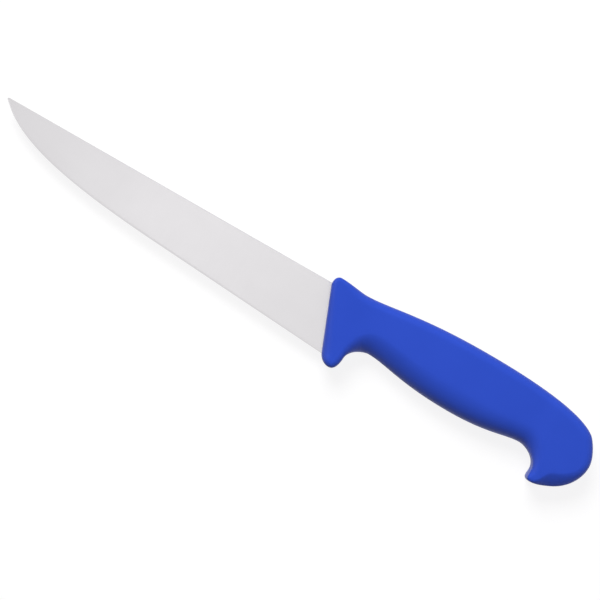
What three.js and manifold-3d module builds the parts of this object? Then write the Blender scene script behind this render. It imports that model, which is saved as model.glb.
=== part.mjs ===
// Kitchen knife: a flat-ground steel blade whose hidden tang is locked in a moulded plastic handle.
// Lengths are in millimetres and angles in degrees. The knife is drawn with X from the guard to the butt,
// Y from the edge to the spine and Z square to the blade. Zero is where the line of the spine meets the
// front of the guard. At the end the knife is laid on its side, with its origin under its middle.

import * as THREE from 'three';
import { mergeVertices } from 'three/addons/utils/BufferGeometryUtils.js';
import Module from 'manifold-3d';

// Blade
const BLADE_LENGTH = 173.4; // tip to guard, along the spine
const BLADE_WIDTH = 30.1; // spine to edge, at the guard
const EDGE_CONVERGENCE = 3.93; // angle between the straight edge and the spine
const BELLY_LENGTH = 95; // tip to where the edge starts to curve
const BELLY_HOLD = 46; // how far the curve keeps to the straight edge
const TIP_HOLD = 21.5; // how far the curve keeps to the angle of the tip
const TIP_ANGLE = 47; // angle between edge and spine at the tip
const TIP_HEIGHT = 0.8; // height of the blunted point
const SHEET_THICKNESS = 2; // at the spine by the guard, and of the tang
const TIP_THICKNESS = 1; // of the spine at the tip
const SHOULDER_THICKNESS = 0.5; // behind the honed edge
const HONED_WIDTH = 0.9; // of the narrow second bevel along the edge
const HEEL_DEPTH = 4.5; // of the blade inside the guard
const HEEL_SHOULDER_THICKNESS = 1; // at the end of the heel, where the grind runs out
const GRIND_LEAD = 1; // start of the full grind ahead of the guard

// Tang
const TANG_COVER = 5; // plastic above and below the tang at the neck
const TANG_END_COVER = 45; // plastic from the end of the tang to the butt
const TANG_CORNER = 4; // radius of the corners at the end of the tang
const TANG_LAP = 1.5; // of the flat tang over the ground heel
const LOCK_HOLE_DIAMETER = 6;
const LOCK_HOLE_INSET = 16; // from either end of the tang to the nearest hole
const LOCK_HOLE_PITCH = 24; // least distance from hole to hole
const FIT_CLEARANCE = 0.3; // between the steel and the plastic

// Guard, measured back from its front and up or down from the line of the spine
const GUARD_LEAN = 21.5; // of the front of the guard, off square to the spine
const GUARD_FLAT = 7; // depth of the guard at its full thickness
const GUARD_ROUND = 3.2; // of the front edges of the guard, at their top
const NOSE_RISE = 4; // top of the guard above the spine
const NOSE_SETBACK = 2.7; // top of the guard behind its front
const NOSE_ROUND = 2; // of the edges of the top of the guard
const FRONT_DROP = 1.6; // start of the straight front below the spine
const FRONT_SETBACK = 0.2; // of the start of the straight front
const HORN_COVER = 3.5; // plastic below the heel of the edge
const HORN_WIDTH = 10.1; // of the horn below the guard, front to rear
const HORN_FRONT_RISE = 4.6; // from the bottom of the horn to the end of the straight front
const HORN_TIP_SETBACK = 6; // lowest point of the horn behind the end of the straight front
const HORN_REAR_RISE = 6.9; // from the bottom of the horn to its rear face
const HORN_REAR_LEAN = 3; // of the rear face, off square to the spine
const HORN_FRONT_ROUND = 5.6; // of the front edges of the guard, at their bottom
const HORN_ROUND = 3; // of the edges of the horn

// Grip, up or down from the line of the spine
const THUMB_DIP_SETBACK = 16.5; // behind the front of the guard
const THUMB_DIP_RISE = 2.7;
const THUMB_DIP_ROUND = 4;
const FRONT_NOTCH_SETBACK = 9.4; // behind the horn
const FRONT_NOTCH_DEPTH = 20.4;
const FRONT_NOTCH_ROUND = 10;
const FRONT_NOTCH_BEVEL = 1.25; // 1 for an even round, 2 for a flat face
const PALM_SHIFT = 5.2; // of the palm swell towards the butt, from midway between the notches
const PALM_FLAT = 28; // length of the flat sides of the palm swell
const BACK_RISE = 7.35;
const BACK_ROUND = 4.5;
const BELLY_DEPTH = 25.05;
const BELLY_ROUND = 12;
const REAR_NOTCH_LEAD = 33.4; // ahead of the butt
const REAR_NOTCH_DEPTH = 20.95;
const REAR_NOTCH_ROUND = 9.5;

// Pommel, measured ahead of the butt and down from the line of the spine
const HANDLE_LENGTH = 145.2; // front of the guard to the butt
const BUTT_CORNER_LEAD = 6.45;
const BUTT_CORNER_DROP = 1.75;
const BUTT_CORNER_FALL = 38; // slope of the outline there
const BUTT_DROP = 15.1;
const BUTT_ROUND = 4;
const FOOT_LEAD = 11.2;
const FOOT_DROP = 31.6;
const FOOT_SLOPE = 25; // of the outline there
const FOOT_ROUND = 6.4;
const FOOT_STEEPNESS = 0.75; // height of the rounding to its width
const FOOT_BEVEL = 1.6; // nearly a flat face
const HOOK_LEAD = 22.9;
const HOOK_DROP = 34.45;
const HOOK_RADIUS = 1.8; // of the point of the hook
const HOOK_FACE = 3.2; // height of the upright face of the hook
const HOOK_ROUND = 1.6;
const THROAT_ROUND = 3.5;
const FLAT_MARGIN = 0.6; // from the rounding of the foot to the end of the flat sides' middle line

// Thickness of the handle
const GUARD_THICKNESS = 20;
const NECK_THICKNESS = 17.4;
const NECK_SETBACK = 25; // behind the front of the guard
const PALM_THICKNESS = 20;
const REAR_NOTCH_THICKNESS = 18.6;
const POMMEL_THICKNESS = 20;
const PARTING_LAND = 1; // height of the upright band where the two mould halves meet

// How broad the bends of the handle are, where an even arc is 1
const CORNER_BEND = 0.4;
const TIGHT_BEND = 0.6;
const BROAD_BEND = 1.72;

// Fineness of the surfaces
const LONGEST_STEP = 7;
const LEAST_STEPS = 2;
const LARGEST_TURN = 13;
const ROUND_STEPS = 5;
const BELLY_STEPS = 20;
const ARC_STEPS = 8;
const ROUND_LIMIT = 0.9; // most of a bend's own radius that a rounding may take

const wasm = await Module();
wasm.setup();

const lean = Math.tan(THREE.MathUtils.degToRad(GUARD_LEAN));
const taper = Math.tan(THREE.MathUtils.degToRad(EDGE_CONVERGENCE));
const mix = THREE.MathUtils.lerp;
const along = (heading) => {
  const angle = THREE.MathUtils.degToRad(heading);
  return new THREE.Vector2(Math.cos(angle), Math.sin(angle));
};

// Closed surfaces and solids

const surface = (points, triangles) => {
  const geometry = new THREE.BufferGeometry();
  geometry.setAttribute('position', new THREE.Float32BufferAttribute(points.flat(), 3));
  geometry.setIndex(triangles.flat());
  return geometry;
};

// Skin over a row of closed sections that all have the same number of points, with both ends capped
const loft = (sections) => {
  const count = sections[0].length;
  const triangles = [];
  for (let row = 0; row + 1 < sections.length; row += 1) {
    for (let i = 0; i < count; i += 1) {
      const a = row * count + i;
      const b = row * count + ((i + 1) % count);
      triangles.push([a, a + count, b], [b, a + count, b + count]);
    }
  }
  const last = (sections.length - 1) * count;
  for (let i = 1; i + 1 < count; i += 1) {
    triangles.push([0, i, i + 1], [last, last + i + 1, last + i]);
  }
  return surface(sections.flat(), triangles);
};

const solid = (geometry) => {
  geometry.deleteAttribute('normal');
  geometry.deleteAttribute('uv');
  const merged = mergeVertices(geometry);
  const index = merged.index.array;
  const triangles = [];
  for (let i = 0; i < index.length; i += 3) {
    const [a, b, c] = index.slice(i, i + 3);
    if (a !== b && b !== c && c !== a) triangles.push(a, b, c);
  }
  return new wasm.Manifold(new wasm.Mesh({
    numProp: 3,
    vertProperties: new Float32Array(merged.attributes.position.array),
    triVerts: new Uint32Array(triangles),
  }));
};

const piece = (name, body, material) => {
  const made = body.getMesh();
  const geometry = new THREE.BufferGeometry();
  geometry.setAttribute('position', new THREE.BufferAttribute(made.vertProperties, 3));
  geometry.setIndex(new THREE.BufferAttribute(made.triVerts, 1));
  geometry.computeVertexNormals();
  const mesh = new THREE.Mesh(geometry, material);
  mesh.name = name;
  return mesh;
};

// Blade

// Depth of the line of the straight edge below the spine, at a distance behind the front of the guard
const edgeDepth = (x) => BLADE_WIDTH + x * taper;

// Depth of the line of the edge where it meets a line parallel to the front of the guard
const heelDepth = (setback) => edgeDepth(setback) / (1 - lean * taper);

// Each cheek of the blade is one plane from the spine to the shoulder of the honed edge, up to the belly
const aboveShoulder = (x, y) => (edgeDepth(x) + y) * Math.cos(Math.atan(taper)) - HONED_WIDTH;
const grindSlope = (SHEET_THICKNESS - SHOULDER_THICKNESS) / 2 / aboveShoulder(HEEL_DEPTH, 0);
const cheek = (x, y) => SHOULDER_THICKNESS / 2 + grindSlope * aboveShoulder(x, y);

const tipX = -BLADE_LENGTH;
const bellyX = BELLY_LENGTH - BLADE_LENGTH;

// Towards the tip the spine is ground thinner, in a smooth sweep from the plane of the cheek
const spineHalf = (x) => {
  const share = Math.max(0, (bellyX - x) / BELLY_LENGTH);
  return cheek(x, 0) + (TIP_THICKNESS / 2 - cheek(tipX, 0)) * share ** 2;
};

// Place of the shoulder above the honed edge
const shoulderOf = (spine, edge) => {
  const height = spine.distanceTo(edge);
  return edge.clone().lerp(spine, HONED_WIDTH / (height + HONED_WIDTH));
};

// One section of the blade: from the spine down to the shoulder, the edge and up the other cheek.
// With a clearance it is a section of the slot that the blade fits.
const bladeSection = (spine, edge, shoulderHalf, clearance) => {
  const shoulder = shoulderOf(spine, edge);
  const upper = [spine.x, spine.y + clearance, spineHalf(spine.x) + clearance];
  const middle = [shoulder.x, shoulder.y, shoulderHalf + clearance];
  const lower = [edge.x, edge.y - clearance, clearance];
  const mirrored = [lower, middle, upper].map(([x, y, z]) => [x, y, -z]);
  return [upper, middle, lower, ...mirrored];
};

// Section along a line parallel to the front of the guard. Inside the guard the grind runs out.
const leaningSection = (setback, clearance) => {
  const depth = heelDepth(setback);
  const spine = new THREE.Vector2(setback, 0);
  const edge = new THREE.Vector2(setback + depth * lean, -depth);
  const shoulder = shoulderOf(spine, edge);
  const runOut = Math.max(0, (setback + GRIND_LEAD) / (HEEL_DEPTH + GRIND_LEAD));
  const added = runOut * (HEEL_SHOULDER_THICKNESS - SHOULDER_THICKNESS) / 2;
  return bladeSection(spine, edge, cheek(shoulder.x, shoulder.y) + added, clearance);
};

const bellyCurve = () => {
  const start = new THREE.Vector2(bellyX, -edgeDepth(bellyX));
  const end = new THREE.Vector2(tipX, -TIP_HEIGHT);
  const leaving = along(180 - EDGE_CONVERGENCE).multiplyScalar(BELLY_HOLD).add(start);
  const arriving = along(-TIP_ANGLE).multiplyScalar(TIP_HOLD).add(end);
  return new THREE.CubicBezierCurve(start, leaving, arriving, end);
};

const groundBlade = () => {
  const sections = [leaningSection(HEEL_DEPTH, 0), leaningSection(-GRIND_LEAD, 0)];
  bellyCurve().getSpacedPoints(BELLY_STEPS).forEach((edge, step) => {
    const spine = new THREE.Vector2(edge.x, 0);
    const shoulder = shoulderOf(spine, edge);
    const half = step === 0 ? cheek(shoulder.x, shoulder.y) : SHOULDER_THICKNESS / 2;
    sections.push(bladeSection(spine, edge, half, 0));
  });
  return solid(loft(sections));
};

// Tang

const tangTop = THUMB_DIP_RISE - TANG_COVER;
const tangBottom = TANG_COVER - FRONT_NOTCH_DEPTH;
const tangMiddle = (tangTop + tangBottom) / 2;
const tangEnd = HANDLE_LENGTH - TANG_END_COVER;

const lockHoles = () => {
  const first = HEEL_DEPTH - tangMiddle * lean + LOCK_HOLE_INSET;
  const last = tangEnd - LOCK_HOLE_INSET;
  const gaps = Math.max(1, Math.floor((last - first) / LOCK_HOLE_PITCH));
  return Array.from({ length: gaps + 1 }, (_, hole) => mix(first, last, hole / gaps));
};

// Flat bar of the tang. With a clearance it is the slot round the tang, less the plugs in the holes.
const tangBar = (clearance) => {
  const top = tangTop + clearance;
  const bottom = tangBottom - clearance;
  const end = tangEnd + clearance;
  const corner = TANG_CORNER + clearance;
  const front = HEEL_DEPTH - TANG_LAP - clearance;
  const outline = new THREE.Shape();
  outline.moveTo(front - top * lean, top);
  outline.lineTo(front - bottom * lean, bottom);
  outline.lineTo(end - corner, bottom);
  outline.absarc(end - corner, bottom + corner, corner, -Math.PI / 2, 0, false);
  outline.absarc(end - corner, top - corner, corner, 0, Math.PI / 2, false);
  lockHoles().forEach((x) => {
    const hole = new THREE.Path();
    hole.absarc(x, tangMiddle, LOCK_HOLE_DIAMETER / 2 - clearance, 0, 2 * Math.PI, true);
    outline.holes.push(hole);
  });
  const depth = SHEET_THICKNESS + 2 * clearance;
  const bar = new THREE.ExtrudeGeometry(outline, { depth, bevelEnabled: false, curveSegments: ARC_STEPS });
  bar.translate(0, 0, -depth / 2);
  return solid(bar);
};

// Handle outline

// The outline runs from the tip of the horn up the front of the guard, along the back to the butt, and
// returns along the foot and the belly.
// At each turning point it has a heading, a breadth of bend and a rounding towards the flat sides. The
// steepness is the rounding's height to its width, and its bevel is 1 for an even round, 2 for a flat face.
const turningPoint = (x, y, heading, bend, round, steepness = 1, bevel = 1) => {
  const at = new THREE.Vector2(x, y);
  return { at, heading, bend, round, steepness, bevel };
};

const buttX = HANDLE_LENGTH;
const hornBottom = -heelDepth(HEEL_DEPTH) - HORN_COVER;
const hornFrontY = hornBottom + HORN_FRONT_RISE;
const hornFront = new THREE.Vector2(FRONT_SETBACK - (hornFrontY + FRONT_DROP) * lean, hornFrontY);
const hornRear = new THREE.Vector2(hornFront.x + HORN_WIDTH, hornBottom + HORN_REAR_RISE);
const frontNotchX = hornRear.x + FRONT_NOTCH_SETBACK;
const rearNotchX = buttX - REAR_NOTCH_LEAD;
const palmX = (frontNotchX + rearNotchX) / 2 + PALM_SHIFT;
const hookX = buttX - HOOK_LEAD;
const hookTop = -HOOK_DROP + HOOK_RADIUS;
const footHeading = 180 + FOOT_SLOPE;
const frontHeading = 90 + GUARD_LEAN;
const hornRearHeading = 270 - HORN_REAR_LEAN;
const foot = new THREE.Vector2(buttX - FOOT_LEAD, -FOOT_DROP);

const turningPoints = [
  turningPoint(hornFront.x + HORN_TIP_SETBACK, hornBottom, 180, 1, HORN_ROUND),
  turningPoint(hornFront.x, hornFront.y, frontHeading, 1, HORN_FRONT_ROUND),
  turningPoint(FRONT_SETBACK, -FRONT_DROP, frontHeading, 1, GUARD_ROUND),
  turningPoint(NOSE_SETBACK, NOSE_RISE, 0, 1, NOSE_ROUND),
  turningPoint(THUMB_DIP_SETBACK, THUMB_DIP_RISE, 0, TIGHT_BEND, THUMB_DIP_ROUND),
  turningPoint(palmX, BACK_RISE, 0, BROAD_BEND, BACK_ROUND),
  turningPoint(buttX - BUTT_CORNER_LEAD, -BUTT_CORNER_DROP, -BUTT_CORNER_FALL, CORNER_BEND, BUTT_ROUND),
  turningPoint(buttX, -BUTT_DROP, -90, 1, BUTT_ROUND),
  turningPoint(foot.x, foot.y, footHeading, 1, FOOT_ROUND, FOOT_STEEPNESS, FOOT_BEVEL),
  turningPoint(hookX + HOOK_RADIUS, -HOOK_DROP, 180, 1, HOOK_ROUND),
  turningPoint(hookX, hookTop, 90, 1, HOOK_ROUND),
  turningPoint(hookX, hookTop + HOOK_FACE, 90, 1, THROAT_ROUND),
  turningPoint(rearNotchX, -REAR_NOTCH_DEPTH, 180, TIGHT_BEND, REAR_NOTCH_ROUND),
  turningPoint(palmX, -BELLY_DEPTH, 180, BROAD_BEND, BELLY_ROUND),
  turningPoint(frontNotchX, -FRONT_NOTCH_DEPTH, 180, TIGHT_BEND, FRONT_NOTCH_ROUND, 1, FRONT_NOTCH_BEVEL),
  turningPoint(hornRear.x, hornRear.y, hornRearHeading, 1, HORN_ROUND),
];

const wrapped = (degrees) => THREE.MathUtils.euclideanModulo(degrees + 180, 360) - 180;

// Curve from one turning point to the next, close to an arc where both bends are 1
const stretch = (from, to) => {
  const turn = wrapped(to.heading - from.heading);
  const reach = (2 / 3) * from.at.distanceTo(to.at) / (1 + Math.cos(THREE.MathUtils.degToRad(turn / 2)));
  const leaving = along(from.heading).multiplyScalar(reach * from.bend).add(from.at);
  const arriving = along(to.heading).multiplyScalar(-reach * to.bend).add(to.at);
  const curve = new THREE.CubicBezierCurve(from.at, leaving, arriving, to.at);
  return { curve, turn };
};

// Points of the outline, each with its direction of travel, its direction inwards and its rounding's shape
const outlinePoints = () => turningPoints.flatMap((from, i) => {
  const to = turningPoints[(i + 1) % turningPoints.length];
  const { curve, turn } = stretch(from, to);
  const wanted = Math.max(curve.getLength() / LONGEST_STEP, Math.abs(turn) / LARGEST_TURN);
  const steps = Math.max(LEAST_STEPS, Math.ceil(wanted));
  return Array.from({ length: steps }, (_, step) => {
    const share = step / steps;
    const at = curve.getPointAt(share);
    const tangent = curve.getTangentAt(share);
    const inward = new THREE.Vector2(tangent.y, -tangent.x);
    const passed = THREE.MathUtils.smoothstep(share, 0, 1);
    const round = mix(from.round, to.round, passed);
    const steepness = mix(from.steepness, to.steepness, passed);
    const bevel = mix(from.bevel, to.bevel, passed);
    return { at, tangent, inward, round, steepness, bevel };
  });
});

// A rounding stays within the radius of an outward bend
const limitRounds = (points) => points.map((point, i) => {
  const next = points[(i + 1) % points.length];
  const before = points[(i + points.length - 1) % points.length];
  const turn = -before.tangent.cross(next.tangent);
  const span = before.at.distanceTo(next.at);
  const most = turn > 0 ? ROUND_LIMIT * span / turn : Infinity;
  return { ...point, round: Math.min(point.round, most) };
});

// Handle surface

// Value at x between pairs of place and value in order of place, eased from each to the next
const eased = (x, stations) => {
  const next = stations.findIndex(([place]) => place > x);
  if (next === 0) return stations[0][1];
  if (next < 0) return stations.at(-1)[1];
  const [from, low] = stations[next - 1];
  const [to, high] = stations[next];
  return mix(low, high, THREE.MathUtils.smoothstep(x, from, to));
};

const frontThickness = [
  [GUARD_FLAT, GUARD_THICKNESS],
  [NECK_SETBACK, NECK_THICKNESS],
  [palmX - PALM_FLAT / 2, PALM_THICKNESS],
];
const rearThickness = [
  [palmX + PALM_FLAT / 2, PALM_THICKNESS],
  [rearNotchX, REAR_NOTCH_THICKNESS],
  [hookX, POMMEL_THICKNESS],
];

// Ahead of the palm the thickness follows the lean of the guard
const halfThickness = (x, y) => {
  if (x < palmX) return eased(x + y * lean, frontThickness) / 2;
  return eased(x, rearThickness) / 2;
};

// Point where the flat side starts, at a distance square to the outline
const inside = (point, heading, distance) => along(heading - 90).multiplyScalar(distance).add(point);

// Middle line of the flat sides, from the horn through the guard and the grip into the pommel
const middleOfGrip = (top, bottom) => (top + bottom) / 2;
const neckY = middleOfGrip(THUMB_DIP_RISE - THUMB_DIP_ROUND, FRONT_NOTCH_ROUND - FRONT_NOTCH_DEPTH);
const palmY = middleOfGrip(BACK_RISE - BACK_ROUND, BELLY_ROUND - BELLY_DEPTH);
const rearNotchY = middleOfGrip(BACK_RISE - BACK_ROUND, REAR_NOTCH_ROUND - REAR_NOTCH_DEPTH);
const pommelY = middleOfGrip(-BUTT_CORNER_DROP, -HOOK_DROP);
const hornFrontRim = inside(hornFront, frontHeading, HORN_FRONT_ROUND);
const hornRearRim = inside(hornRear, hornRearHeading, HORN_ROUND);
const middleLine = [
  hornFrontRim.lerp(hornRearRim, 0.5),
  new THREE.Vector2(GUARD_FLAT - neckY * lean, neckY),
  new THREE.Vector2(frontNotchX, neckY),
  new THREE.Vector2(palmX - PALM_FLAT / 2, palmY),
  new THREE.Vector2(palmX + PALM_FLAT / 2, palmY),
  new THREE.Vector2(rearNotchX, rearNotchY),
  new THREE.Vector2((hookX + buttX) / 2, pommelY),
  inside(foot, footHeading, FOOT_ROUND + FLAT_MARGIN),
];

const middlePoints = () => middleLine.flatMap((from, i) => {
  if (i + 1 === middleLine.length) return [from];
  const to = middleLine[i + 1];
  const steps = Math.ceil(from.distanceTo(to) / LONGEST_STEP);
  return Array.from({ length: steps }, (_, step) => from.clone().lerp(to, step / steps));
});

// For each point of the outline, the point of the middle line that its flat side reaches to
const nearestMiddles = (points, middles) => {
  const rims = points.map(({ at, inward, round }) => inward.clone().multiplyScalar(round).add(at));
  const closest = (spots, to) => {
    const distances = spots.map((spot) => spot.distanceTo(to));
    return distances.indexOf(Math.min(...distances));
  };
  const nearest = rims.map((rim) => closest(middles, rim));
  const end = closest(rims, middles.at(-1));
  nearest[0] = 0;
  nearest[end] = middles.length - 1;
  for (let i = 1; i < end; i += 1) nearest[i] = Math.max(nearest[i], nearest[i - 1]);
  for (let i = end + 1; i < points.length; i += 1) nearest[i] = Math.min(nearest[i], nearest[i - 1]);
  return nearest;
};

// One ring of the handle, at an angle from 0 on the upright band to 90 degrees on the flat side
const ring = (points, angle, side) => points.map(({ at, inward, round, steepness, bevel }) => {
  const inset = round * (1 - Math.max(0, Math.cos(angle)) ** bevel);
  const { x, y } = inward.clone().multiplyScalar(inset).add(at);
  const half = halfThickness(x, y);
  const rise = Math.min(round * steepness, half - PARTING_LAND / 2);
  return [x, y, side * (half - rise + rise * Math.sin(angle) ** bevel)];
});

// Triangles between the last ring on one side and the middle line
const flatSide = (rim, middle, nearest, side) => {
  const triangles = [];
  const add = (a, b, c) => triangles.push(side > 0 ? [a, b, c] : [a, c, b]);
  nearest.forEach((from, i) => {
    const after = (i + 1) % nearest.length;
    const to = nearest[after];
    add(rim + after, rim + i, middle + from);
    const step = Math.sign(to - from);
    for (let j = from; j !== to; j += step) add(rim + after, middle + j, middle + j + step);
  });
  return triangles;
};

const handleBody = () => {
  const points = limitRounds(outlinePoints());
  const middles = middlePoints();
  const nearest = nearestMiddles(points, middles);
  const count = points.length;
  const angles = Array.from({ length: ROUND_STEPS + 1 }, (_, step) => (step / ROUND_STEPS) * (Math.PI / 2));
  const lower = angles.toReversed().map((angle) => ring(points, angle, -1));
  const upper = angles.map((angle) => ring(points, angle, 1));
  const rings = [...lower, ...upper];
  const triangles = [];
  for (let row = 0; row + 1 < rings.length; row += 1) {
    for (let i = 0; i < count; i += 1) {
      const a = row * count + i;
      const b = row * count + ((i + 1) % count);
      triangles.push([a, a + count, b], [b, a + count, b + count]);
    }
  }
  const level = (side) => middles.map(({ x, y }) => [x, y, side * halfThickness(x, y)]);
  const lowerMiddle = rings.length * count;
  const upperMiddle = lowerMiddle + middles.length;
  triangles.push(...flatSide(0, lowerMiddle, nearest, -1));
  triangles.push(...flatSide((rings.length - 1) * count, upperMiddle, nearest, 1));
  return solid(surface([...rings.flat(), ...level(-1), ...level(1)], triangles));
};

// Slot for the heel, from well ahead of the guard to just behind the heel
const heelSlot = () => {
  const setbacks = [HEEL_DEPTH + FIT_CLEARANCE, -GRIND_LEAD, -HEEL_DEPTH];
  return solid(loft(setbacks.map((setback) => leaningSection(setback, FIT_CLEARANCE))));
};

// Knife

const steel = new THREE.MeshStandardMaterial({ color: 0xd9d8d9, roughness: 0.35, metalness: 1 });
const plastic = new THREE.MeshStandardMaterial({ color: 0x3250c4, roughness: 0.5, metalness: 0 });

const blade = groundBlade().add(tangBar(0));
const slot = heelSlot().add(tangBar(FIT_CLEARANCE));
const handle = handleBody().subtract(slot);

const knife = new THREE.Group();
knife.add(piece('blade', blade, steel));
knife.add(piece('handle', handle, plastic));

const box = new THREE.Box3().setFromObject(knife);
const middle = box.getCenter(new THREE.Vector3());
knife.position.set(-middle.x, -middle.y, -box.min.z);

export default knife;
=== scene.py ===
import math

import bmesh
import bpy
from mathutils import Matrix, Vector
from mathutils.geometry import delaunay_2d_cdt


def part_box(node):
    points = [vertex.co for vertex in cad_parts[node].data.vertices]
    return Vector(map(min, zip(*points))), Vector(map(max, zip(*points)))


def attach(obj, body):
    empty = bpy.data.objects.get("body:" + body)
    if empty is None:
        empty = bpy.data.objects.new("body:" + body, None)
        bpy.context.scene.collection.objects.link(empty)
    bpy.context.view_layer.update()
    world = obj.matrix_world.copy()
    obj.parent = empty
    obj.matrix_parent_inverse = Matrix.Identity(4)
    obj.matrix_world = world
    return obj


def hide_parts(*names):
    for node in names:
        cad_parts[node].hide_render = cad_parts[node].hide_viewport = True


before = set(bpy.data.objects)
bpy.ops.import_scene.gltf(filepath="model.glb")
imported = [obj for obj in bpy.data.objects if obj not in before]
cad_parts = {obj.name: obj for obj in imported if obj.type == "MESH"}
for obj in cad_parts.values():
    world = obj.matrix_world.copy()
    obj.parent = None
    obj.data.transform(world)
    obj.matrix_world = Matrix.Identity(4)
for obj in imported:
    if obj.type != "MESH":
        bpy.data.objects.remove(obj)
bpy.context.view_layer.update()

# Kitchen knife: a satin steel blade in a blue moulded handle, lying on its side on a white table.
# Sizes are in millimetres and angles in degrees, drawn as the solids are: X from the guard to the butt,
# Y from the edge to the spine, Z square to the blade, and zero where the spine meets the guard.

MM = 0.001

# Blade
BLADE_LENGTH = 173.4
BLADE_WIDTH = 30.1
EDGE_CONVERGENCE = 3.93
BELLY_LENGTH = 95
BELLY_HOLD = 46
TIP_HOLD = 21.5
TIP_ANGLE = 47
TIP_HEIGHT = 0.8
SHEET_THICKNESS = 2
TIP_THICKNESS = 1
SHOULDER_THICKNESS = 0.5
HONED_WIDTH = 0.9
HEEL_DEPTH = 4.5
HEEL_SHOULDER_THICKNESS = 1
GRIND_LEAD = 1
SPINE_EASE = 0.22  # radius of the broken corners of the spine
LEAST_HEIGHT = 0.04  # of the last section, at the very tip

# Tang
TANG_COVER = 5
TANG_END_COVER = 45
TANG_CORNER = 4
TANG_LAP = 1.5
LOCK_HOLE_DIAMETER = 6
LOCK_HOLE_INSET = 16
LOCK_HOLE_PITCH = 24
MOUTH_GAP = 0.08  # between steel and plastic, the hairline where the blade leaves the guard

# Guard
GUARD_LEAN = 21.5
GUARD_FLAT = 7
GUARD_ROUND = 3.2
NOSE_RISE = 4
NOSE_SETBACK = 2.7
NOSE_ROUND = 2
FRONT_DROP = 1.6
FRONT_SETBACK = 0.2
HORN_COVER = 3.5
HORN_WIDTH = 10.1
HORN_FRONT_RISE = 4.6
HORN_TIP_SETBACK = 6
HORN_REAR_RISE = 6.9
HORN_REAR_LEAN = 3
HORN_FRONT_ROUND = 5.6
HORN_ROUND = 3

# Grip
THUMB_DIP_SETBACK = 16.5
THUMB_DIP_RISE = 2.7
THUMB_DIP_ROUND = 4
FRONT_NOTCH_SETBACK = 9.4
FRONT_NOTCH_DEPTH = 20.4
FRONT_NOTCH_ROUND = 10
FRONT_NOTCH_BEVEL = 1.25
PALM_SHIFT = 5.2
PALM_FLAT = 28
BACK_RISE = 7.35
BACK_ROUND = 4.5
BELLY_DEPTH = 25.05
BELLY_ROUND = 12
REAR_NOTCH_LEAD = 33.4
REAR_NOTCH_DEPTH = 20.95
REAR_NOTCH_ROUND = 9.5

# Pommel
HANDLE_LENGTH = 145.2
BUTT_CORNER_LEAD = 6.45
BUTT_CORNER_DROP = 1.75
BUTT_CORNER_FALL = 38
BUTT_DROP = 15.1
BUTT_ROUND = 4
FOOT_LEAD = 11.2
FOOT_DROP = 31.6
FOOT_SLOPE = 25
FOOT_ROUND = 6.4
FOOT_STEEPNESS = 0.75
FOOT_BEVEL = 1.6
HOOK_LEAD = 22.9
HOOK_DROP = 34.45
HOOK_RADIUS = 1.8
HOOK_FACE = 3.2
HOOK_ROUND = 1.6
THROAT_ROUND = 3.5

# Thickness of the handle
GUARD_THICKNESS = 20
NECK_THICKNESS = 17.4
NECK_SETBACK = 25
PALM_THICKNESS = 20
REAR_NOTCH_THICKNESS = 18.6
POMMEL_THICKNESS = 20
PARTING_LAND = 1
PARTING_RIDGE = 0.05  # the fine line where the mould halves met, proud of the surface
PARTING_RIDGE_HALF = 0.16

CORNER_BEND = 0.4
TIGHT_BEND = 0.6
BROAD_BEND = 1.72

# Fineness of the surfaces
OUTLINE_STEP = 0.9
OUTLINE_TURN = 3
ROUND_STEPS = 16
FLAT_STEP = 1.5
BELLY_STEPS = 140
STRAIGHT_STEPS = 24
EASE_STEPS = 8
ROUND_LIMIT = 0.9
LEAST_GAP = 0.000001  # between points of the flat sides
CHEEK_MARGIN = 0.3  # of the strips along a cheek that keep its middle flat
CHEEK_MARGIN_LIMIT = 0.25  # of the cheek's height, for the strips
TIP_CROWDING = 1.3  # of the sections of the belly towards the tip
LENGTH_SAMPLES = 8  # for each step of the outline, where its length is measured
CORNER_STEPS = 10
HOLE_STEPS = 36
DRAWN_MERGE = 0.0005  # points closer than this are one, in a drawn mesh and in a joined one
JOINED_MERGE = 0.002
STEEL_SHARP_ANGLE = 12.5
PLASTIC_SHARP_ANGLE = 32

# Photograph: its scale, the slope of the spine in it, and the knife's point that lies at its centre
PICTURE_SIZE = 600
PIXELS_PER_MM = 2.155
SPINE_SLOPE = 29.82
CENTRE_X = -9.2
CENTRE_Y = -14.4
LENS = 200
SENSOR = 36

# Studio: lamps in metres across and up the picture and above the table, their size and their watts
FILL = 0.03  # light of the room on the knife, where 1 is white
TABLE_SIZE = 12
TABLE_COLOUR = 0.3  # that lights the knife from below
TABLE_GLOW = 0.88  # its own white to the camera
TABLE_SHADE = 0.16  # its lit white to the camera, which takes the shadow
COLOUR_LAMPS = {
    "key": (-0.15, 1.02, 1.42, 0.9, 33.5),
    "right": (1.644, 0.0, 0.599, 0.6, 2),
    "below": (1.3, -0.9, 0.74, 0.6, 3.5),
}
SHEEN_LAMPS = {
    "left": (-1.437, 0.67, 0.74, 1.4, 7),
    "glow": (-0.125, 0.02, 1.5, 0.12, 0.065),
}

LEAN = math.tan(math.radians(GUARD_LEAN))
TAPER = math.tan(math.radians(EDGE_CONVERGENCE))
HANDLE_LOW, HANDLE_HIGH = (Vector(corner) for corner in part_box("handle"))
ORIGIN = Vector((
    HANDLE_HIGH.x - HANDLE_LENGTH * MM,
    HANDLE_HIGH.y - BACK_RISE * MM,
    (HANDLE_LOW.z + HANDLE_HIGH.z) / 2,
))


def place(x, y, z=0.0):
    """Point of the drawing, in millimetres, as a point of the frame."""
    return ORIGIN + Vector((x, y, z)) * MM


def mix(a, b, share):
    return a + (b - a) * share


def smooth(x, low, high):
    share = min(1.0, max(0.0, (x - low) / (high - low)))
    return share * share * (3 - 2 * share)


def along(heading):
    return Vector((math.cos(math.radians(heading)), math.sin(math.radians(heading))))


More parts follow.
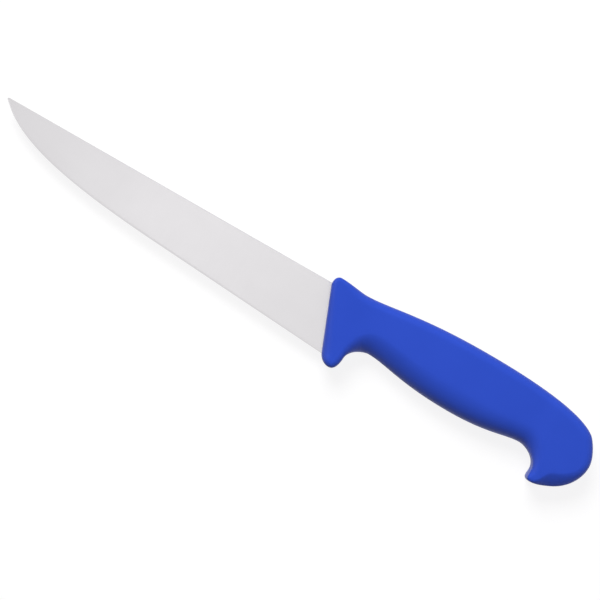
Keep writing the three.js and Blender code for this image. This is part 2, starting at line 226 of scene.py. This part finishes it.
def new_object(name, mesh):
    piece = bpy.data.objects.new(name, mesh)
    bpy.context.scene.collection.objects.link(piece)
    return piece


def mesh_object(name, points, faces):
    mesh = bpy.data.meshes.new(name)
    mesh.from_pydata([place(*point) for point in points], [], faces)
    mesh.validate()
    return new_object(name, mesh)


def combine(piece, other, operation):
    """Joins other to piece, or cuts it out, and leaves one mesh."""
    modifier = piece.modifiers.new(operation.lower(), "BOOLEAN")
    modifier.operation = operation
    modifier.solver = "EXACT"
    modifier.object = other
    bpy.context.view_layer.update()
    evaluated = piece.evaluated_get(bpy.context.evaluated_depsgraph_get())
    mesh = bpy.data.meshes.new_from_object(evaluated)
    piece.modifiers.remove(modifier)
    piece.data = mesh
    bpy.data.objects.remove(other)


def clean_mesh(mesh, merge_distance):
    """Merges doubled points and turns the faces out."""
    edit = bmesh.new()
    edit.from_mesh(mesh)
    bmesh.ops.remove_doubles(edit, verts=edit.verts, dist=merge_distance * MM)
    bmesh.ops.recalc_face_normals(edit, faces=edit.faces)
    edit.to_mesh(mesh)
    edit.free()


def finish_mesh(piece, material, sharp_angle):
    """Cleans the mesh and shades it smooth between sharp edges."""
    clean_mesh(piece.data, JOINED_MERGE)
    piece.data.shade_smooth()
    piece.data.set_sharp_from_angle(angle=math.radians(sharp_angle))
    piece.data.materials.clear()
    piece.data.materials.append(material)


# Node materials

def node(tree, kind, **inputs):
    made = tree.nodes.new(kind)
    for name, value in inputs.items():
        made.inputs[name].default_value = value
    return made


def new_material(name):
    material = bpy.data.materials.new(name)
    material.use_nodes = True
    tree = material.node_tree
    tree.nodes.clear()
    output = tree.nodes.new("ShaderNodeOutputMaterial")
    shader = tree.nodes.new("ShaderNodeBsdfPrincipled")
    tree.links.new(shader.outputs["BSDF"], output.inputs["Surface"])
    return material, tree, shader


def stretched_noise(tree, scale, detail):
    """Noise over the object's own metres, stretched by a scale for each axis."""
    coordinates = tree.nodes.new("ShaderNodeTexCoord")
    mapping = tree.nodes.new("ShaderNodeMapping")
    mapping.inputs["Scale"].default_value = scale
    noise = tree.nodes.new("ShaderNodeTexNoise")
    noise.inputs["Scale"].default_value = 1
    noise.inputs["Detail"].default_value = detail
    tree.links.new(coordinates.outputs["Object"], mapping.inputs["Vector"])
    tree.links.new(mapping.outputs["Vector"], noise.inputs["Vector"])
    return noise.outputs["Fac"]


def ranged(tree, value, low, high):
    """A value of about 0.3 to 0.7 spread over low to high."""
    spread = tree.nodes.new("ShaderNodeMapRange")
    spread.inputs["From Min"].default_value = 0.3
    spread.inputs["From Max"].default_value = 0.7
    spread.inputs["To Min"].default_value = low
    spread.inputs["To Max"].default_value = high
    tree.links.new(value, spread.inputs["Value"])
    return spread.outputs["Result"]


def tinted(tree, value, dark, light):
    """A colour between dark and light, by a value of 0 to 1."""
    blend = tree.nodes.new("ShaderNodeMix")
    blend.data_type = "RGBA"
    blend.inputs["A"].default_value = (*dark, 1)
    blend.inputs["B"].default_value = (*light, 1)
    tree.links.new(value, blend.inputs["Factor"])
    return blend.outputs["Result"]


def bumped(tree, shader, height, strength, distance):
    bump = tree.nodes.new("ShaderNodeBump")
    bump.inputs["Strength"].default_value = strength
    bump.inputs["Distance"].default_value = distance
    tree.links.new(height, bump.inputs["Height"])
    tree.links.new(bump.outputs["Normal"], shader.inputs["Normal"])


def satin_steel():
    """Stainless steel, finely ground across the blade."""
    material, tree, shader = new_material("satin_steel")
    shader.inputs["Metallic"].default_value = 1
    lines = stretched_noise(tree, (5200, 60, 60), 3)
    clouds = stretched_noise(tree, (34, 60, 60), 2)
    tree.links.new(tinted(tree, ranged(tree, clouds, 0, 1), (0.67, 0.655, 0.67), (0.69, 0.675, 0.69)),
                   shader.inputs["Base Color"])
    tree.links.new(ranged(tree, lines, 0.24, 0.27), shader.inputs["Roughness"])
    bumped(tree, shader, lines, 0.03, 0.02 * MM)
    return material


def moulded_plastic():
    """Blue polypropylene with the fine matt grain of its mould."""
    material, tree, shader = new_material("moulded_plastic")
    shader.inputs["Specular IOR Level"].default_value = 0.23
    clouds = stretched_noise(tree, (45, 45, 45), 2)
    grain = stretched_noise(tree, (5200, 5200, 5200), 2)
    tree.links.new(tinted(tree, ranged(tree, clouds, 0, 1), (0.0265, 0.077, 0.57), (0.0285, 0.081, 0.59)),
                   shader.inputs["Base Color"])
    tree.links.new(ranged(tree, grain, 0.37, 0.45), shader.inputs["Roughness"])
    bumped(tree, shader, grain, 0.12, 0.03 * MM)
    return material


# Blade

def edge_depth(x):
    return BLADE_WIDTH + x * TAPER


def heel_depth(setback):
    return edge_depth(setback) / (1 - LEAN * TAPER)


def above_shoulder(x, y):
    return (edge_depth(x) + y) * math.cos(math.atan(TAPER)) - HONED_WIDTH


GRIND_SLOPE = (SHEET_THICKNESS - SHOULDER_THICKNESS) / 2 / above_shoulder(HEEL_DEPTH, 0)
TIP_X = -BLADE_LENGTH
BELLY_X = BELLY_LENGTH - BLADE_LENGTH


def cheek(x, y):
    """Half the thickness of the blade on the plane of its cheek."""
    return SHOULDER_THICKNESS / 2 + GRIND_SLOPE * above_shoulder(x, y)


def spine_half(x):
    share = max(0.0, (BELLY_X - x) / BELLY_LENGTH)
    return cheek(x, 0) + (TIP_THICKNESS / 2 - cheek(TIP_X, 0)) * share ** 2


def shoulder_of(spine, edge):
    height = (spine - edge).length
    return edge.lerp(spine, HONED_WIDTH / (height + HONED_WIDTH))


def blade_section(spine, edge, shoulder_half, gap=0.0):
    """One side of a section from the middle of the spine to the edge, and back up the other side.
    With a gap it is a section of the slot that the blade fits."""
    shoulder = shoulder_of(spine, edge)
    half = spine_half(spine.x) + gap
    ease = 0.0 if gap else min(SPINE_EASE, (spine - shoulder).length / 3, half / 2)
    down = (shoulder - spine).normalized() if (shoulder - spine).length else Vector((0, -1))
    side = []
    for step in range(EASE_STEPS + 1):
        angle = math.pi / 2 * step / EASE_STEPS
        drop = spine + down * (ease * (1 - math.cos(angle)))
        side.append((drop.x, drop.y + gap, half - ease + ease * math.sin(angle)))
    top = Vector(side[-1])
    bottom = Vector((shoulder.x, shoulder.y, shoulder_half + gap))
    margin = min(CHEEK_MARGIN_LIMIT, CHEEK_MARGIN / max(0.01, (top - bottom).length))
    side += [tuple(top.lerp(bottom, share)) for share in (margin, 1 - margin, 1)]
    side.append((edge.x, edge.y - gap, gap))
    return side + [(x, y, -z) for x, y, z in reversed(side)]


def leaning_section(setback, gap=0.0):
    """Section along a line parallel to the front of the guard."""
    depth = heel_depth(setback)
    spine = Vector((setback, 0))
    edge = Vector((setback + depth * LEAN, -depth))
    shoulder = shoulder_of(spine, edge)
    run_out = max(0.0, (setback + GRIND_LEAD) / (HEEL_DEPTH + GRIND_LEAD))
    added = run_out * (HEEL_SHOULDER_THICKNESS - SHOULDER_THICKNESS) / 2
    return blade_section(spine, edge, cheek(*shoulder) + added, gap)


def bezier(start, leaving, arriving, end, share):
    rest = 1 - share
    return (start * rest ** 3 + leaving * (3 * rest ** 2 * share)
            + arriving * (3 * rest * share ** 2) + end * share ** 3)


def belly_point(share):
    start = Vector((BELLY_X, -edge_depth(BELLY_X)))
    end = Vector((TIP_X, -TIP_HEIGHT))
    leaving = start + along(180 - EDGE_CONVERGENCE) * BELLY_HOLD
    arriving = end + along(-TIP_ANGLE) * TIP_HOLD
    return bezier(start, leaving, arriving, end, share)


def spine_point(x, edge):
    """The spine is straight, and turns down round the point of the blade."""
    run = min(TIP_HEIGHT, x - TIP_X)
    drop = TIP_HEIGHT - math.sqrt(max(0.0, TIP_HEIGHT ** 2 - (TIP_HEIGHT - run) ** 2))
    return Vector((x, max(-drop, edge.y + LEAST_HEIGHT)))


def loft(name, sections):
    count = len(sections[0])
    points = [point for section in sections for point in section]
    faces = []
    for row in range(len(sections) - 1):
        for i in range(count):
            a = row * count + i
            b = row * count + (i + 1) % count
            faces.append((a, a + count, b + count, b))
    faces.append(tuple(range(count)))
    faces.append(tuple(range(len(points) - 1, len(points) - count - 1, -1)))
    return mesh_object(name, points, faces)


def ground_blade():
    sections = [leaning_section(HEEL_DEPTH), leaning_section(-GRIND_LEAD)]
    lean_end = Vector((-GRIND_LEAD, 0)), Vector((-GRIND_LEAD + heel_depth(-GRIND_LEAD) * LEAN, 0))
    for step in range(1, STRAIGHT_STEPS):
        share = step / STRAIGHT_STEPS
        spine = Vector((mix(lean_end[0].x, BELLY_X, share), 0))
        edge_x = mix(lean_end[1].x, BELLY_X, share)
        edge = Vector((edge_x, -edge_depth(edge_x)))
        sections.append(blade_section(spine, edge, cheek(*shoulder_of(spine, edge))))
    for step in range(BELLY_STEPS + 1):
        edge = belly_point(1 - (1 - step / BELLY_STEPS) ** TIP_CROWDING)
        spine = spine_point(edge.x, edge)
        half = min(SHOULDER_THICKNESS / 2, spine_half(edge.x) * (spine - edge).length)
        sections.append(blade_section(spine, edge, half))
    return loft("blade_steel", sections)


# Tang

TANG_TOP = THUMB_DIP_RISE - TANG_COVER
TANG_BOTTOM = TANG_COVER - FRONT_NOTCH_DEPTH
TANG_MIDDLE = (TANG_TOP + TANG_BOTTOM) / 2
TANG_END = HANDLE_LENGTH - TANG_END_COVER


def arc(centre_x, centre_y, radius, start, end, steps):
    points = []
    for step in range(steps + 1):
        offset = along(mix(start, end, step / steps)) * radius
        points.append((centre_x + offset.x, centre_y + offset.y))
    return points


def lock_holes():
    first = HEEL_DEPTH - TANG_MIDDLE * LEAN + LOCK_HOLE_INSET
    last = TANG_END - LOCK_HOLE_INSET
    gaps = max(1, math.floor((last - first) / LOCK_HOLE_PITCH))
    return [mix(first, last, hole / gaps) for hole in range(gaps + 1)]


def tang_bar(gap=0.0):
    """The flat tang with its lock holes. With a gap it is the slot round it, less the plugs."""
    top = TANG_TOP + gap
    bottom = TANG_BOTTOM - gap
    end = TANG_END + gap
    corner = TANG_CORNER + gap
    front = HEEL_DEPTH - TANG_LAP - gap
    loops = [[(front - top * LEAN, top), (front - bottom * LEAN, bottom)]
             + arc(end - corner, bottom + corner, corner, -90, 0, CORNER_STEPS)
             + arc(end - corner, top - corner, corner, 0, 90, CORNER_STEPS)]
    for hole in lock_holes():
        loops.append(arc(hole, TANG_MIDDLE, LOCK_HOLE_DIAMETER / 2 - gap, 0, -360, HOLE_STEPS)[:-1])
    curve = bpy.data.curves.new("tang", "CURVE")
    curve.dimensions = "2D"
    curve.fill_mode = "BOTH"
    curve.extrude = (SHEET_THICKNESS / 2 + gap) * MM
    for loop in loops:
        spline = curve.splines.new("POLY")
        spline.points.add(len(loop) - 1)
        spline.use_cyclic_u = True
        for point, (x, y) in zip(spline.points, loop):
            point.co = (x * MM, y * MM, 0, 1)
    drawn = new_object("tang_drawing", curve)
    bpy.context.view_layer.update()
    evaluated = drawn.evaluated_get(bpy.context.evaluated_depsgraph_get())
    mesh = bpy.data.meshes.new_from_object(evaluated)
    bpy.data.objects.remove(drawn)
    mesh.transform(Matrix.Translation(ORIGIN))
    clean_mesh(mesh, DRAWN_MERGE)
    return new_object("tang_bar", mesh)


# Handle outline

BUTT_X = HANDLE_LENGTH
HORN_BOTTOM = -heel_depth(HEEL_DEPTH) - HORN_COVER
HORN_FRONT_Y = HORN_BOTTOM + HORN_FRONT_RISE
HORN_FRONT = Vector((FRONT_SETBACK - (HORN_FRONT_Y + FRONT_DROP) * LEAN, HORN_FRONT_Y))
HORN_REAR = Vector((HORN_FRONT.x + HORN_WIDTH, HORN_BOTTOM + HORN_REAR_RISE))
FOOT = Vector((BUTT_X - FOOT_LEAD, -FOOT_DROP))
FRONT_HEADING = 90 + GUARD_LEAN
HORN_REAR_HEADING = 270 - HORN_REAR_LEAN
FOOT_HEADING = 180 + FOOT_SLOPE
FRONT_NOTCH_X = HORN_REAR.x + FRONT_NOTCH_SETBACK
REAR_NOTCH_X = BUTT_X - REAR_NOTCH_LEAD
PALM_X = (FRONT_NOTCH_X + REAR_NOTCH_X) / 2 + PALM_SHIFT
HOOK_X = BUTT_X - HOOK_LEAD
HOOK_TOP = -HOOK_DROP + HOOK_RADIUS

# Place, heading, breadth of bend and rounding at each turn: from the tip of the horn up the front of the
# guard, along the back to the butt, and back along the foot and the belly. After the rounding come its
# steepness, its height to its width, and its bevel, 1 for an even round and 2 for a flat face.
TURNING_POINTS = [
    (HORN_FRONT.x + HORN_TIP_SETBACK, HORN_BOTTOM, 180, 1, HORN_ROUND, 1, 1),
    (*HORN_FRONT, FRONT_HEADING, 1, HORN_FRONT_ROUND, 1, 1),
    (FRONT_SETBACK, -FRONT_DROP, FRONT_HEADING, 1, GUARD_ROUND, 1, 1),
    (NOSE_SETBACK, NOSE_RISE, 0, 1, NOSE_ROUND, 1, 1),
    (THUMB_DIP_SETBACK, THUMB_DIP_RISE, 0, TIGHT_BEND, THUMB_DIP_ROUND, 1, 1),
    (PALM_X, BACK_RISE, 0, BROAD_BEND, BACK_ROUND, 1, 1),
    (BUTT_X - BUTT_CORNER_LEAD, -BUTT_CORNER_DROP, -BUTT_CORNER_FALL, CORNER_BEND, BUTT_ROUND, 1, 1),
    (BUTT_X, -BUTT_DROP, -90, 1, BUTT_ROUND, 1, 1),
    (*FOOT, FOOT_HEADING, 1, FOOT_ROUND, FOOT_STEEPNESS, FOOT_BEVEL),
    (HOOK_X + HOOK_RADIUS, -HOOK_DROP, 180, 1, HOOK_ROUND, 1, 1),
    (HOOK_X, HOOK_TOP, 90, 1, HOOK_ROUND, 1, 1),
    (HOOK_X, HOOK_TOP + HOOK_FACE, 90, 1, THROAT_ROUND, 1, 1),
    (REAR_NOTCH_X, -REAR_NOTCH_DEPTH, 180, TIGHT_BEND, REAR_NOTCH_ROUND, 1, 1),
    (PALM_X, -BELLY_DEPTH, 180, BROAD_BEND, BELLY_ROUND, 1, 1),
    (FRONT_NOTCH_X, -FRONT_NOTCH_DEPTH, 180, TIGHT_BEND, FRONT_NOTCH_ROUND, 1, FRONT_NOTCH_BEVEL),
    (*HORN_REAR, HORN_REAR_HEADING, 1, HORN_ROUND, 1, 1),
]


def even_shares(controls, steps):
    """Shares of a curve that divide its length into even steps."""
    fine = LENGTH_SAMPLES * steps
    spots = [bezier(*controls, i / fine) for i in range(fine + 1)]
    lengths = [0.0]
    for before, after in zip(spots, spots[1:]):
        lengths.append(lengths[-1] + (after - before).length)
    shares = []
    i = 0
    for step in range(steps):
        wanted = lengths[-1] * step / steps
        while lengths[i + 1] < wanted:
            i += 1
        shares.append((i + (wanted - lengths[i]) / (lengths[i + 1] - lengths[i])) / fine)
    return shares


def stretch(start, end):
    """Points from one turn towards the next, each with its direction inwards and its profile."""
    start_at, end_at = Vector(start[:2]), Vector(end[:2])
    turn = (end[2] - start[2] + 180) % 360 - 180
    chord = (end_at - start_at).length
    reach = chord * 2 / 3 / (1 + math.cos(math.radians(turn / 2)))
    leaving = start_at + along(start[2]) * (reach * start[3])
    arriving = end_at - along(end[2]) * (reach * end[3])
    steps = math.ceil(max(4, chord / OUTLINE_STEP, abs(turn) / OUTLINE_TURN))
    shares = even_shares((start_at, leaving, arriving, end_at), steps)
    points = []
    for step, share in enumerate(shares):
        at = bezier(start_at, leaving, arriving, end_at, share)
        rest = 1 - share
        tangent = ((leaving - start_at) * rest ** 2 + (arriving - leaving) * (2 * rest * share)
                   + (end_at - arriving) * share ** 2).normalized()
        passed = smooth(step / steps, 0, 1)
        profile = [mix(before, after, passed) for before, after in zip(start[4:], end[4:])]
        points.append((at, Vector((tangent.y, -tangent.x)), *profile))
    return points


def outline_points():
    """The whole outline, with each rounding kept within the radius of an outward bend."""
    following = TURNING_POINTS[1:] + TURNING_POINTS[:1]
    points = [point for pair in zip(TURNING_POINTS, following) for point in stretch(*pair)]
    limited = []
    for i, (at, inward, round_here, steepness, bevel) in enumerate(points):
        before, after = points[i - 1], points[(i + 1) % len(points)]
        turn = before[1].x * after[1].y - before[1].y * after[1].x
        if turn < 0:
            round_here = min(round_here, ROUND_LIMIT * (after[0] - before[0]).length / -turn)
        limited.append((at, inward, round_here, steepness, bevel))
    return limited


# Handle surface

def eased(x, stations):
    for (low_x, low), (high_x, high) in zip(stations, stations[1:]):
        if x < high_x:
            return mix(low, high, smooth(x, low_x, high_x))
    return stations[-1][1]


FRONT_THICKNESS = [
    (GUARD_FLAT, GUARD_THICKNESS),
    (NECK_SETBACK, NECK_THICKNESS),
    (PALM_X - PALM_FLAT / 2, PALM_THICKNESS),
]
REAR_THICKNESS = [
    (PALM_X + PALM_FLAT / 2, PALM_THICKNESS),
    (REAR_NOTCH_X, REAR_NOTCH_THICKNESS),
    (HOOK_X, POMMEL_THICKNESS),
]


def half_thickness(x, y):
    if x < PALM_X:
        return eased(x + y * LEAN, FRONT_THICKNESS) / 2
    return eased(x, REAR_THICKNESS) / 2


def round_ring(points, angle, side):
    """A ring at an angle from 0 on the upright band to 90 degrees on the flat side."""
    ring = []
    for at, inward, round_here, steepness, bevel in points:
        spot = at + inward * (round_here * (1 - math.cos(angle) ** bevel))
        half = half_thickness(*spot)
        rise = min(round_here * steepness, half - PARTING_LAND / 2)
        ring.append((spot.x, spot.y, side * (half - rise + rise * math.sin(angle) ** bevel)))
    return ring


def parting_ring(points, proud, level):
    ring = []
    for at, inward, *_ in points:
        spot = at - inward * proud
        ring.append((spot.x, spot.y, level))
    return ring


def side_rings(points, side):
    angles = [math.pi / 2 * step / ROUND_STEPS for step in range(ROUND_STEPS + 1)]
    rings = [parting_ring(points, 0, side * PARTING_RIDGE_HALF)]
    return rings + [round_ring(points, angle, side) for angle in angles]


def flat_spots(rim):
    """Points of an even grid inside the box of the rim, clear of the rim itself."""
    low = Vector((min(spot.x for spot in rim), min(spot.y for spot in rim)))
    high = Vector((max(spot.x for spot in rim), max(spot.y for spot in rim)))
    clear = (FLAT_STEP / 2) ** 2
    spots = []
    for column in range(1, math.ceil((high.x - low.x) / FLAT_STEP)):
        for row in range(1, math.ceil((high.y - low.y) / FLAT_STEP)):
            spot = low + Vector((column, row)) * FLAT_STEP
            if min((spot - other).length_squared for other in rim) > clear:
                spots.append(spot)
    return spots


def flat_triangles(rim, spots):
    """Triangles between the rim and the points within it, as indices of the two lists in a row."""
    loop = [(i, (i + 1) % len(rim)) for i in range(len(rim))]
    filled = delaunay_2d_cdt(rim + spots, loop, [], 1, LEAST_GAP)
    faces, sources = filled[2], filled[3]
    return [[sources[corner][0] for corner in face] for face in faces]


def handle_body():
    points = outline_points()
    count = len(points)
    rim = [at + inward * round_here for at, inward, round_here, *_ in points]
    within = flat_spots(rim)
    triangles = flat_triangles(rim, within)
    upper = side_rings(points, 1)
    lower = side_rings(points, -1)
    rings = lower[::-1] + [parting_ring(points, PARTING_RIDGE, 0)] + upper
    faces = []
    for row in range(len(rings) - 1):
        for i in range(count):
            a = row * count + i
            b = row * count + (i + 1) % count
            faces.append((a, a + count, b + count, b))
    spots = [point for ring in rings for point in ring]
    for side, rim_start in ((-1, 0), (1, (len(rings) - 1) * count)):
        within_start = len(spots) - count
        for triangle in triangles:
            corners = [i + (rim_start if i < count else within_start) for i in triangle]
            faces.append(corners[::side])
        spots += [(spot.x, spot.y, side * half_thickness(*spot)) for spot in within]
    return mesh_object("moulded_handle", spots, faces)


# Pieces of the knife

def make_blade(material):
    piece = ground_blade()
    clean_mesh(piece.data, DRAWN_MERGE)
    combine(piece, tang_bar(), "UNION")
    finish_mesh(piece, material, STEEL_SHARP_ANGLE)
    return piece


def make_handle(material):
    piece = handle_body()
    clean_mesh(piece.data, DRAWN_MERGE)
    setbacks = (HEEL_DEPTH + MOUTH_GAP, -GRIND_LEAD, -HEEL_DEPTH)
    slot = loft("heel_slot", [leaning_section(setback, MOUTH_GAP) for setback in setbacks])
    clean_mesh(slot.data, DRAWN_MERGE)
    combine(slot, tang_bar(MOUTH_GAP), "UNION")
    combine(piece, slot, "DIFFERENCE")
    finish_mesh(piece, material, PLASTIC_SHARP_ANGLE)
    return piece


# Studio

UP = Vector((-math.sin(math.radians(SPINE_SLOPE)), math.cos(math.radians(SPINE_SLOPE)), 0))
RIGHT = Vector((math.cos(math.radians(SPINE_SLOPE)), math.sin(math.radians(SPINE_SLOPE)), 0))
ABOVE = Vector((0, 0, 1))


def make_camera():
    """Straight above the knife, turned so that the spine falls to the right as it does in the photo."""
    camera = bpy.data.objects.new("camera", bpy.data.cameras.new("camera"))
    bpy.context.scene.collection.objects.link(camera)
    camera.data.lens = LENS
    camera.data.sensor_width = SENSOR
    camera.data.clip_end = 100
    width = PICTURE_SIZE / PIXELS_PER_MM * MM
    distance = width * LENS / SENSOR
    spot = place(CENTRE_X, CENTRE_Y) + ABOVE * distance
    turned = Matrix((RIGHT, UP, ABOVE)).transposed().to_4x4()
    camera.matrix_world = Matrix.Translation(spot) @ turned
    bpy.context.scene.camera = camera


def softbox(name, across, up, rise, size, power, glossy):
    """A square lamp that looks at the knife. It lights colours, or if glossy it only shows as sheen."""
    lamp = bpy.data.lights.new(name, "AREA")
    lamp.size = size
    lamp.energy = power
    box = bpy.data.objects.new(name, lamp)
    bpy.context.scene.collection.objects.link(box)
    target = place(CENTRE_X, CENTRE_Y)
    offset = RIGHT * across + UP * up + ABOVE * rise
    box.location = target + offset
    box.rotation_euler = (-offset).to_track_quat("-Z", "Y").to_euler()
    box.visible_camera = False
    box.visible_glossy = glossy
    box.visible_diffuse = not glossy


def seen_directly(tree):
    """1 for rays from the camera and for what metal and glass show, 0 for light on the object."""
    path = tree.nodes.new("ShaderNodeLightPath")
    total = path.outputs["Is Camera Ray"]
    for name in ("Is Glossy Ray", "Is Transmission Ray"):
        joined = tree.nodes.new("ShaderNodeMath")
        joined.operation = "MAXIMUM"
        tree.links.new(total, joined.inputs[0])
        tree.links.new(path.outputs[name], joined.inputs[1])
        total = joined.outputs[0]
    return total


def make_world():
    world = bpy.data.worlds.new("studio")
    bpy.context.scene.world = world
    world.use_nodes = True
    tree = world.node_tree
    background = tree.nodes["Background"]
    background.inputs["Color"].default_value = (1, 1, 1, 1)
    strength = tree.nodes.new("ShaderNodeMix")
    strength.inputs["A"].default_value = FILL
    strength.inputs["B"].default_value = 1
    tree.links.new(seen_directly(tree), strength.inputs["Factor"])
    tree.links.new(strength.outputs["Result"], background.inputs["Strength"])


def make_floor():
    """A white table: mostly its own white to the camera, so that only a soft shadow shows on it."""
    reach = TABLE_SIZE / 2
    mesh = bpy.data.meshes.new("table")
    corners = [(-reach, -reach, 0), (reach, -reach, 0), (reach, reach, 0), (-reach, reach, 0)]
    mesh.from_pydata(corners, [], [(0, 1, 2, 3)])
    table = new_object("table", mesh)
    material = bpy.data.materials.new("white_table")
    material.use_nodes = True
    tree = material.node_tree
    tree.nodes.clear()
    output = tree.nodes.new("ShaderNodeOutputMaterial")
    lit = node(tree, "ShaderNodeBsdfDiffuse", Color=(TABLE_COLOUR, TABLE_COLOUR, TABLE_COLOUR, 1))
    shown = node(tree, "ShaderNodeBsdfDiffuse", Color=(TABLE_SHADE, TABLE_SHADE, TABLE_SHADE, 1))
    bright = node(tree, "ShaderNodeEmission", Color=(1, 0.996, 1, 1), Strength=TABLE_GLOW)
    both = tree.nodes.new("ShaderNodeAddShader")
    choose = tree.nodes.new("ShaderNodeMixShader")
    tree.links.new(shown.outputs[0], both.inputs[0])
    tree.links.new(bright.outputs[0], both.inputs[1])
    tree.links.new(seen_directly(tree), choose.inputs[0])
    tree.links.new(lit.outputs[0], choose.inputs[1])
    tree.links.new(both.outputs[0], choose.inputs[2])
    tree.links.new(choose.outputs[0], output.inputs["Surface"])
    mesh.materials.append(material)


make_camera()
blade = make_blade(satin_steel())
handle = make_handle(moulded_plastic())
for piece, cad_node, slot_name in ((blade, "blade", "steel"), (handle, "handle", "plastic")):
    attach(piece, "root")
    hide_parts(cad_node)

make_world()
make_floor()
for lamp_name, lamp_values in COLOUR_LAMPS.items():
    softbox(lamp_name, *lamp_values, False)
for lamp_name, lamp_values in SHEEN_LAMPS.items():
    softbox(lamp_name, *lamp_values, True)
bpy.context.scene.view_settings.view_transform = "Standard"
